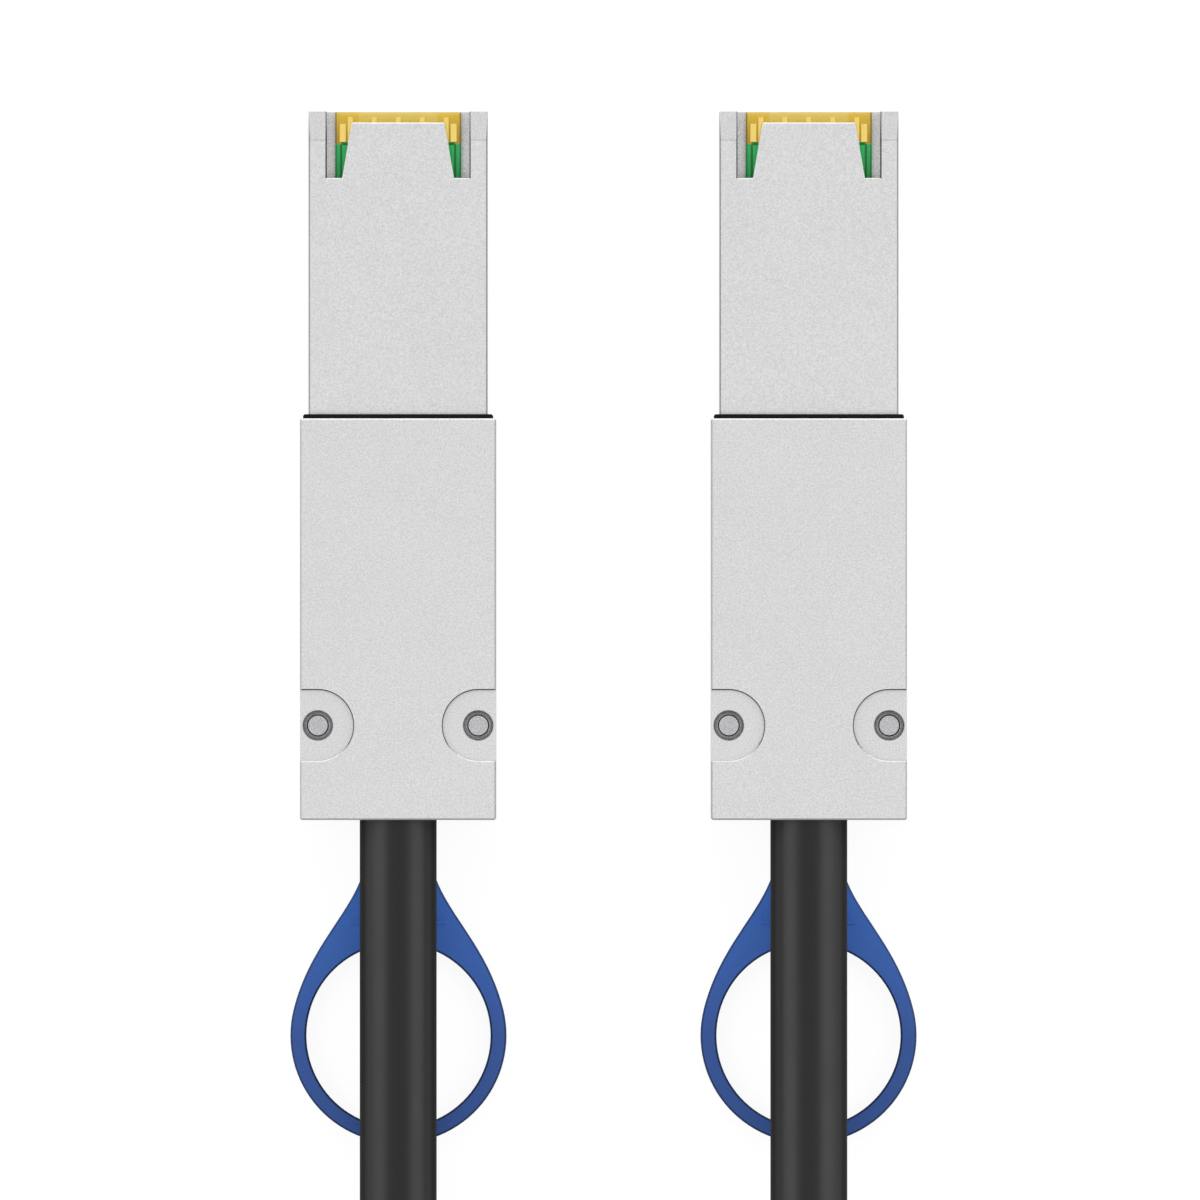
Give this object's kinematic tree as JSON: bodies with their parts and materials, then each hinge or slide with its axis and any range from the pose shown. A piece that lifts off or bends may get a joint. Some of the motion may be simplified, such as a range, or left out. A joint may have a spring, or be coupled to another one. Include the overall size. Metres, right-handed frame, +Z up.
{
  "type": "external mini sas cable",
  "caption": "Round black shielded cable with a latching die-cast plug and a blue finger-ring release tab on each end, its spare length coiled.",
  "frame": {"origin": "middle of the two plugs at the level they lie on, below the centre of their common box", "axes": "+Y from the cord towards the noses, +X from the left plug to the right one, +Z up"},
  "size_m": [0.0996, 0.2223, 0.0154],
  "materials": {
    "die_cast": "satin, fine grain",
    "rivet": "satin",
    "stainless": "brushed",
    "gasket": "matte",
    "card": "satin solder mask",
    "contact_gold": "gold plated",
    "pair_shield": "foil",
    "ferrule": "nickel plated",
    "tab_plastic": "moulded",
    "jacket": "satin"
  },
  "bodies": {
    "cable": {"left_cover_shell": "die_cast", "left_latch_shell": "die_cast", "left_shield_gasket": "gasket", "left_paddle_card": "card", "left_card_contacts": "contact_gold", "left_wire_pairs": "pair_shield", "left_crimp_ferrule": "ferrule", "left_shell_rivets": "rivet", "left_latch_pin": "stainless", "left_return_spring": "stainless", "left_latch_cover": "stainless", "left_cover_screws": "rivet", "right_cover_shell": "die_cast", "right_latch_shell": "die_cast", "right_shield_gasket": "gasket", "right_paddle_card": "card", "right_card_contacts": "contact_gold", "right_wire_pairs": "pair_shield", "right_crimp_ferrule": "ferrule", "right_shell_rivets": "rivet", "right_latch_pin": "stainless", "right_return_spring": "stainless", "right_latch_cover": "stainless", "right_cover_screws": "rivet", "left_lead": "jacket", "right_lead": "jacket", "cable_coil": "jacket"},
    "left_release": {"left_pull_slider": "stainless", "left_pull_tab": "tab_plastic"},
    "left_latch": {"left_latch_plate": "stainless"},
    "right_release": {"right_pull_slider": "stainless", "right_pull_tab": "tab_plastic"},
    "right_latch": {"right_latch_plate": "stainless"}
  },
  "joints": [
    {"name": "left_release_slide", "type": "slide", "parent": "cable", "child": "left_release", "axis": [0, -1, 0], "range_m": [0, 0.0025], "stiffness_N_per_m": 600, "deforming": ["left_return_spring"]},
    {"name": "left_latch_turn", "type": "hinge", "parent": "cable", "child": "left_latch", "pos_m": [-0.02055, 0.00696, 0.00335], "axis": [1, 0, 0], "range_deg": [0, 2]},
    {"name": "right_release_slide", "type": "slide", "parent": "cable", "child": "right_release", "axis": [0, -1, 0], "range_m": [0, 0.0025], "stiffness_N_per_m": 600, "deforming": ["right_return_spring"]},
    {"name": "right_latch_turn", "type": "hinge", "parent": "cable", "child": "right_latch", "pos_m": [0.02055, 0.00696, 0.00335], "axis": [1, 0, 0], "range_deg": [0, 2]}
  ],
  "couplings": [
    {"joint": "left_latch_turn", "follows": "left_release_slide", "rad_per_m": 13.96},
    {"joint": "right_latch_turn", "follows": "right_release_slide", "rad_per_m": 13.96}
  ]
}
